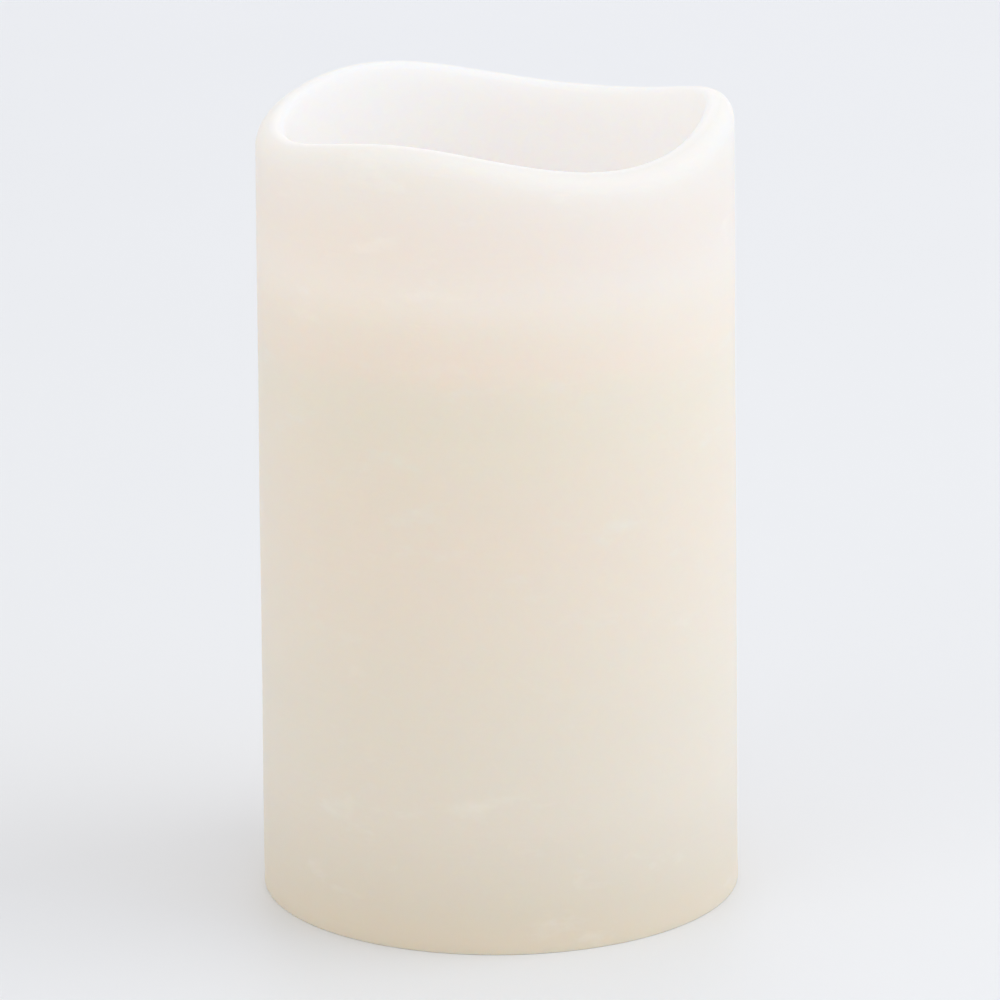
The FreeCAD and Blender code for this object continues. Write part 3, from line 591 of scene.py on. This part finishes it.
def turned(outline, around=64):
    """A bmesh turned round Z from (radius, height, finish) points. A radius of zero closes an end, and the
    finish is the material of the faces between a point and the next."""
    shape = bmesh.new()
    turns = [2 * math.pi * step / around for step in range(around)]
    rings = []
    for radius, height, finish in outline:
        if radius == 0:
            rings.append([shape.verts.new((0.0, 0.0, height))])
        else:
            rings.append([shape.verts.new((radius * math.cos(turn), radius * math.sin(turn), height))
                          for turn in turns])
    for lower, upper, point in zip(rings, rings[1:], outline):
        for step in range(around):
            ahead = (step + 1) % around
            corners = [lower[step % len(lower)], lower[ahead % len(lower)]]
            corners += [upper[ahead % len(upper)], upper[step % len(upper)]]
            shape.faces.new(list(dict.fromkeys(corners))).material_index = point[2]
    return shape


def joined(shapes):
    """Several bmeshes as one."""
    whole = bmesh.new()
    for shape in shapes:
        part = bpy.data.meshes.new("part")
        shape.to_mesh(part)
        shape.free()
        whole.from_mesh(part)
        bpy.data.meshes.remove(part)
    return whole


def block(low, high, width, finish):
    """A bmesh block between two corners with rounded edges."""
    shape = bmesh.new()
    bmesh.ops.create_cube(shape, size=1.0)
    for corner in shape.verts:
        corner.co = [a + (b - a) * (0.5 + share) for a, b, share in zip(low, high, corner.co)]
    bevelled(shape, list(shape.edges), width, clamp=True)
    for face in shape.faces:
        face.material_index = finish
    return shape


def raised_mark(outline, face_height):
    """A mark moulded proud of a face that looks down."""
    shape = bmesh.new()
    root = [shape.verts.new((x, y, face_height + MARK_SINK)) for x, y in outline]
    tip = [shape.verts.new((x, y, face_height - MARK_RISE)) for x, y in outline]
    shape.faces.new(root)
    shape.faces.new(list(reversed(tip)))
    for index in range(len(outline)):
        ahead = (index + 1) % len(outline)
        shape.faces.new([root[index], tip[index], tip[ahead], root[ahead]])
    bmesh.ops.recalc_face_normals(shape, faces=shape.faces)
    bevelled(shape, list(shape.edges), MARK_ROUND, clamp=True)
    return shape


def arc(centre, radius, first, last, steps):
    """Points of an arc in the (radius, height) plane, between two angles in degrees."""
    turns = [math.radians(first + (last - first) * step / steps) for step in range(steps + 1)]
    return [(centre[0] + radius * math.cos(turn), centre[1] + radius * math.sin(turn)) for turn in turns]


def run(start, end, steps):
    """Points between two ends, without the ends themselves."""
    return [tuple(a + (b - a) * step / steps for a, b in zip(start, end)) for step in range(1, steps)]


# ---------------------------------------------------------------- wax shell

def wax_outline(height):
    """The shell's closed section where its rim has one height: up outside, over the rim and down inside."""
    web_bottom = CUP_FLOOR - WEB_THICKNESS
    outer_top = TOP_RADIUS + (BASE_RADIUS - TOP_RADIUS) * (DRAFT_HEIGHT - height) / DRAFT_HEIGHT
    mouth_radius = STEM_HOLE_RADIUS + STEM_HOLE_ROUND
    roof_centre = (CHAMBER_RADIUS - CHAMBER_CORNER, web_bottom - CHAMBER_CORNER)
    foot = arc((BASE_RADIUS - FOOT_ROUND, FOOT_ROUND), FOOT_ROUND, -90, 0, steps=4)
    crest = arc((outer_top - RIM_OUTER_ROUND, height - RIM_OUTER_ROUND), RIM_OUTER_ROUND, 0, 90, steps=12)
    lip = arc((CUP_RADIUS + RIM_INNER_ROUND, height - RIM_INNER_ROUND), RIM_INNER_ROUND, 90, 180, steps=8)
    cove = arc((CUP_RADIUS - CUP_CORNER, CUP_FLOOR + CUP_CORNER), CUP_CORNER, 0, -90, steps=8)
    mouth = arc((mouth_radius, CUP_FLOOR - STEM_HOLE_ROUND), STEM_HOLE_ROUND, 90, 180, steps=5)
    throat = arc((mouth_radius, web_bottom + STEM_HOLE_ROUND), STEM_HOLE_ROUND, 180, 270, steps=5)
    roof = arc(roof_centre, CHAMBER_CORNER, 90, 0, steps=6)
    hem = [(CHAMBER_RADIUS, 0.0)]
    # Each stretch, and the steps of the straight run from its end to the next.
    stretches = [
        (foot, 90), (crest, 1), (lip, 16), (cove, 24), (mouth, 4), (throat, 24), (roof, 24), (hem, 3),
    ]
    points = []
    for (stretch, steps), (following, _) in zip(stretches, stretches[1:] + stretches[:1]):
        points += stretch + run(stretch[-1], following[0], steps)
    return points


def hand_poured(point):
    """How far a casting's surface stands out from a true shell at a point."""
    soft = noise.noise(point * SOFT_WAVE_COUNT)
    fine = noise.noise(point * FINE_WAVE_COUNT + FINE_WAVE_PLACE)
    return SOFT_WAVE * soft + FINE_WAVE * fine


def wax_casting():
    """The wax shell, turned from its outline with the rim's height changing on the way round."""
    vertices = []
    for step in range(WAX_STEPS_AROUND):
        angle = 2 * math.pi * step / WAX_STEPS_AROUND
        outline = wax_outline(rim_height(angle))
        for radius, height in outline:
            if height > TRUE_FOOT:
                radius += hand_poured(Vector((radius * math.cos(angle), radius * math.sin(angle), height)))
            vertices.append((radius * math.cos(angle), radius * math.sin(angle), height))
    count = len(outline)
    faces = []
    for step in range(WAX_STEPS_AROUND):
        here, there = step * count, (step + 1) % WAX_STEPS_AROUND * count
        for index in range(count):
            ahead = (index + 1) % count
            faces.append((here + index, there + index, there + ahead, here + ahead))
    mesh = bpy.data.meshes.new("wax_casting")
    mesh.from_pydata(vertices, [], faces)
    mesh.polygons.foreach_set("use_smooth", [True] * len(mesh.polygons))
    placed("wax_casting", mesh, [finishes["ivory_wax"]], "candle", "ivory_wax", "wax_shell")


# ---------------------------------------------------------------- pieces inside and underneath

def battery_cell(node, name):
    """A dry cell: printed jacket rolled over its steel can, with a washer round the raised nub."""
    low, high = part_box(node)
    radius, length = (high.z - low.z) / 2, high.x - low.x
    side = 1 if abs(high.x) > abs(low.x) else -1
    outline = [(across / CELL_RADIUS * radius, along / CELL_LENGTH * length, finish)
               for across, along, finish in CELL_OUTLINE]
    shape = turned(outline)
    start = Vector((low.x if side > 0 else high.x, (low.y + high.y) / 2, (low.z + high.z) / 2))
    shape.transform(Matrix.Translation(start) @ Matrix.Rotation(side * math.pi / 2, 4, "Y"))
    materials = [finishes[finish] for finish in CELL_FINISHES]
    keep_flats(placed(name, as_mesh(shape, name), materials, "candle", "cell_jacket", node))


def led():
    """A 5 mm LED: a clear lens with a flange, and the cup, die and posts that show inside it."""
    low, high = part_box("led_bulb")
    flange, base, top = high.x, low.z, high.z
    foot = [(0.0, base), (flange - LED_EDGE, base), (flange, base + LED_EDGE),
            (flange, base + LED_FLANGE - LED_EDGE), (flange - LED_EDGE, base + LED_FLANGE),
            (LED_RADIUS, base + LED_FLANGE)]
    dome = arc((0.0, top - LED_RADIUS), LED_RADIUS, 0, 90, steps=12)[:-1]
    lens = turned([(radius, height, 0) for radius, height in foot + dome + [(0.0, top)]])
    placed("led_lens", as_mesh(lens, "led_lens"), [finishes["lens_epoxy"]], "candle", "lens_epoxy",
           "led_bulb")
    cup = turned([(radius * MM, height * MM, LED_FRAME) for radius, height in LED_CUP_OUTLINE], around=24)
    cup.transform(Matrix.Translation((LED_CUP_OFFSET * MM, 0.0, 0.0)))
    shapes = [cup]
    for corner, opposite, width, finish in LED_BLOCKS:
        shapes.append(block(Vector(corner) * MM, Vector(opposite) * MM, width * MM, finish))
    inside = joined(shapes)
    inside.transform(Matrix.Translation((0.0, 0.0, base)))
    materials = [finishes["lead_steel"], finishes["phosphor"]]
    keep_flats(placed("led_frame", as_mesh(inside, "led_frame"), materials, "candle", "lead_steel"))


def glue_run():
    """Hot-melt glue run round the module's cover by hand, fuller in some places than in others."""
    low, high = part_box("glue_bead")
    quarter = [math.pi / 2 * step / GLUE_STEPS_ACROSS for step in range(GLUE_STEPS_ACROSS + 1)]
    shape = bmesh.new()
    loops = []
    for step in range(GLUE_STEPS_AROUND):
        angle = 2 * math.pi * step / GLUE_STEPS_AROUND
        way = Vector((math.cos(angle), math.sin(angle), 0.0))
        size = (high.z - low.z) * (GLUE_MEAN + GLUE_SWING * noise.noise(way * GLUE_LUMPS))
        section = [(high.x - size * math.sin(turn), low.z + size * math.cos(turn)) for turn in quarter]
        section.append((high.x, low.z))
        loops.append([shape.verts.new(way * radius + Vector((0.0, 0.0, height)))
                      for radius, height in section])
    for here, there in zip(loops, loops[1:] + loops[:1]):
        for index in range(len(here)):
            ahead = (index + 1) % len(here)
            shape.faces.new([here[index], there[index], there[ahead], here[ahead]])
    keep_flats(placed("glue_run", as_mesh(shape, "glue_run"), [finishes["hot_glue"]], "candle", "hot_glue",
                      "glue_bead"))


def wire_foot(node):
    """Where a wire meets the board: the middle of its lowest end."""
    corners = [vertex.co for vertex in frame["nodes"][node].data.vertices]
    lowest = min(corner.z for corner in corners)
    end = [corner for corner in corners if corner.z < lowest + WELD]
    return sum(end, Vector()) / len(end)


def solder_joints():
    """The fillets of solder round the wires and leads that go into the board."""
    board_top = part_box("circuit_board")[1].z
    low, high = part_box("resistor")
    middle = (low.y + high.y) / 2
    feet = [wire_foot(node) for node in WIRES]
    feet += [Vector((low.x + LEAD_RADIUS, middle, 0.0)), Vector((high.x - LEAD_RADIUS, middle, 0.0))]
    shapes = []
    for foot in feet:
        joint = turned([(radius * MM, height * MM, 0) for radius, height in SOLDER_OUTLINE], around=24)
        joint.transform(Matrix.Translation((foot.x, foot.y, board_top)))
        shapes.append(joint)
    mesh = as_mesh(joined(shapes), "solder_joints")
    placed("solder_joints", mesh, [finishes["lead_steel"]], "candle", "lead_steel")


def moulded_marks():
    """The door's opening arrow and the three plain signs beside the switch: bar, ring and dot."""
    plastic = finishes["ivory_plastic"]
    door_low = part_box("battery_door")[0]
    tip = door_low.x + ARROW_PLACE
    neck, tail = tip + ARROW_LENGTH * ARROW_HEAD_SHARE, tip + ARROW_LENGTH
    shaft = ARROW_HALF_WIDTH * ARROW_SHAFT_SHARE
    outline = [(tip, 0.0), (neck, -ARROW_HALF_WIDTH), (neck, -shaft), (tail, -shaft), (tail, shaft),
               (neck, shaft), (neck, ARROW_HALF_WIDTH)]
    arrow = as_mesh(raised_mark(outline, door_low.z), "door_arrow")
    keep_flats(placed("door_arrow", arrow, [plastic], "door", "ivory_plastic"))
    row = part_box("switch_knob")[0].y - SIGN_GAP
    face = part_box("base_tray")[0].z
    low, edge, high = face - MARK_RISE, face - MARK_RISE + MARK_ROUND, face + MARK_SINK
    left, right = -SIGN_PITCH - BAR_HALF_WIDTH, -SIGN_PITCH + BAR_HALF_WIDTH
    near, far = row - BAR_HALF_LENGTH, row + BAR_HALF_LENGTH
    bar = raised_mark([(left, near), (right, near), (right, far), (left, far)], face)
    ring = turned([(RING_INNER, high, 0), (RING_INNER, edge, 0), (RING_INNER + RING_EDGE, low, 0),
                   (RING_OUTER - RING_EDGE, low, 0), (RING_OUTER, edge, 0), (RING_OUTER, high, 0),
                   (RING_INNER, high, 0)], around=40)
    ring.transform(Matrix.Translation((0.0, row, 0.0)))
    dot = turned([(0.0, high, 0), (DOT_RADIUS, high, 0), (DOT_RADIUS, edge, 0),
                  (DOT_RADIUS - DOT_EDGE, low, 0), (0.0, low, 0)], around=32)
    dot.transform(Matrix.Translation((SIGN_PITCH, row, 0.0)))
    signs = as_mesh(joined([bar, ring, dot]), "switch_signs")
    keep_flats(placed("switch_signs", signs, [plastic], "candle", "ivory_plastic"))


# ---------------------------------------------------------------- studio

def looking(holder, place, towards, roll=0.0):
    """Puts a lamp or camera in the scene, where it looks along a direction and may be rolled about it."""
    holder.location = place
    holder.rotation_mode = "QUATERNION"
    turn = towards.to_track_quat("-Z", "Y").to_matrix().to_4x4() @ Matrix.Rotation(roll, 4, "Z")
    holder.rotation_quaternion = turn.to_quaternion()
    bpy.context.scene.collection.objects.link(holder)


def soft_box(name, azimuth, elevation, distance, size, power, colour):
    """A round soft box that looks at the candle's middle."""
    a, e = math.radians(azimuth), math.radians(elevation)
    away = Vector((math.sin(a) * math.cos(e), -math.cos(a) * math.cos(e), math.sin(e)))
    light = bpy.data.lights.new(name, "AREA")
    light.shape = "DISK"
    light.size = size
    light.energy = power
    light.color = colour
    middle = Vector((0.0, 0.0, cad_high.z / 2))
    looking(bpy.data.objects.new(name, light), middle + away * distance, -away)


def studio():
    """Pale floor, soft surrounding light and the soft boxes."""
    bpy.ops.mesh.primitive_circle_add(vertices=FLOOR_SIDES, radius=FLOOR_RADIUS, fill_type="NGON",
                                      location=(0.0, 0.0, 0.0))
    floor = bpy.context.object
    floor.name = "floor"
    floor.data.materials.append(white_board())
    world = bpy.data.worlds.new("studio")
    world.use_nodes = True
    background = world.node_tree.nodes["Background"]
    background.inputs["Color"].default_value = WORLD_COLOUR
    background.inputs["Strength"].default_value = WORLD_STRENGTH
    bpy.context.scene.world = world
    for light in LIGHTS:
        soft_box(*light)
    bpy.context.scene.view_settings.view_transform = "Standard"


def camera():
    """The camera, on the side where the switch is."""
    back = Vector((0.0, -math.cos(CAMERA_ELEVATION), math.sin(CAMERA_ELEVATION)))
    data = bpy.data.cameras.new("camera")
    data.lens = CAMERA_LENS
    data.clip_start = CAMERA_NEAR
    data.clip_end = CAMERA_FAR
    holder = bpy.data.objects.new("camera", data)
    looking(holder, CAMERA_AIM + back * CAMERA_DISTANCE, -back, CAMERA_ROLL)
    bpy.context.scene.camera = holder


# ---------------------------------------------------------------- the candle

camera()
studio()
finishes = all_materials()
for subpart in frame["record"]["subparts"]:
    slots = frame["nodes"][subpart["node"]].data.materials
    slots.clear()
    slots.append(finishes[subpart["material_slot"]])
wax_casting()
for moulding in MOULDINGS:
    rounded_copy(*moulding)
for number in (1, 2, 3):
    battery_cell("battery_%d" % number, "cell_%d" % number)
led()
glue_run()
solder_joints()
moulded_marks()
